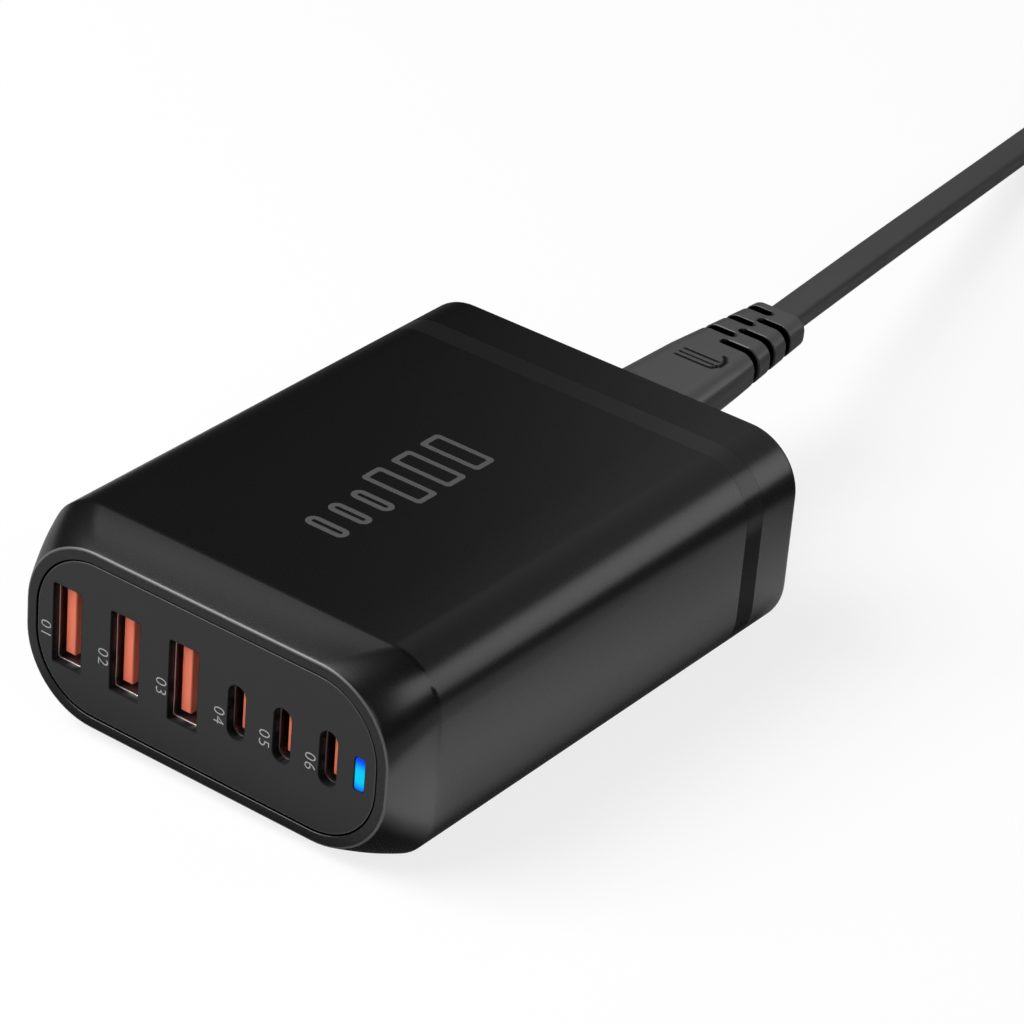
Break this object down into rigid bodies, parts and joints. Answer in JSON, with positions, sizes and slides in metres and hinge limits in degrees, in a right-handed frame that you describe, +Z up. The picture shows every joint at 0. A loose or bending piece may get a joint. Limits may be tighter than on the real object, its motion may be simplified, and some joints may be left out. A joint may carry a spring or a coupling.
{
  "type": "desktop charger",
  "caption": "Flat satin black desktop charger with a bevelled front, a row of ports with orange tongues, a blue status window, a glossy band and a plug-in flat mains lead.",
  "frame": {"origin": "centre of the base, on the surface it stands on", "axes": "+X to the right seen from the ports, +Y towards the mains lead, +Z up"},
  "size_m": [0.1015, 0.3472, 0.033],
  "materials": {
    "housing_plastic": "satin black moulded",
    "panel_plastic": "fine matte",
    "band_gloss": "polished black",
    "window_blue": "clear diffuser, lit blue",
    "light_chip": "moulded",
    "port_steel": "bright plated",
    "tongue_orange": "moulded",
    "contact_gold": "plated",
    "circuit_board": "coated",
    "ferrite": "sintered",
    "winding_tape": "taped",
    "capacitor_can": "sleeved",
    "component_case": "moulded",
    "heat_plate_metal": "mill finish",
    "inlet_plastic": "moulded",
    "pin_metal": "nickel plated",
    "lead_cover": "satin moulded",
    "tie_plastic": "woven strap"
  },
  "bodies": {
    "root": {"main_housing": "housing_plastic", "rear_cap": "housing_plastic", "front_panel": "panel_plastic", "trim_band": "band_gloss", "light_pipe": "window_blue", "status_light": "light_chip", "usb_a_shell_1": "port_steel", "usb_a_shell_2": "port_steel", "usb_a_shell_3": "port_steel", "usb_c_shell_1": "port_steel", "usb_c_shell_2": "port_steel", "usb_c_shell_3": "port_steel", "usb_a_tongue_1": "tongue_orange", "usb_a_tongue_2": "tongue_orange", "usb_a_tongue_3": "tongue_orange", "usb_c_tongue_1": "tongue_orange", "usb_c_tongue_2": "tongue_orange", "usb_c_tongue_3": "tongue_orange", "usb_a_contacts_1": "contact_gold", "usb_a_contacts_2": "contact_gold", "usb_a_contacts_3": "contact_gold", "usb_c_contacts_1": "contact_gold", "usb_c_contacts_2": "contact_gold", "usb_c_contacts_3": "contact_gold", "connector_contacts": "contact_gold", "port_board": "circuit_board", "main_board": "circuit_board", "transformer_core": "ferrite", "filter_choke": "ferrite", "port_inductors": "ferrite", "transformer_winding": "winding_tape", "bulk_capacitors": "capacitor_can", "output_capacitors": "capacitor_can", "x_capacitor": "component_case", "bridge_rectifier": "component_case", "fuse": "component_case", "power_switches": "component_case", "heat_plate": "heat_plate_metal", "inlet_housing": "inlet_plastic", "inlet_pins": "pin_metal", "mains_plug_pins": "pin_metal", "connector_body": "lead_cover", "power_cord": "lead_cover", "cord_coil": "lead_cover", "cord_tail": "lead_cover", "mains_plug_body": "lead_cover", "cord_tie": "tie_plastic"}
  },
  "joints": []
}
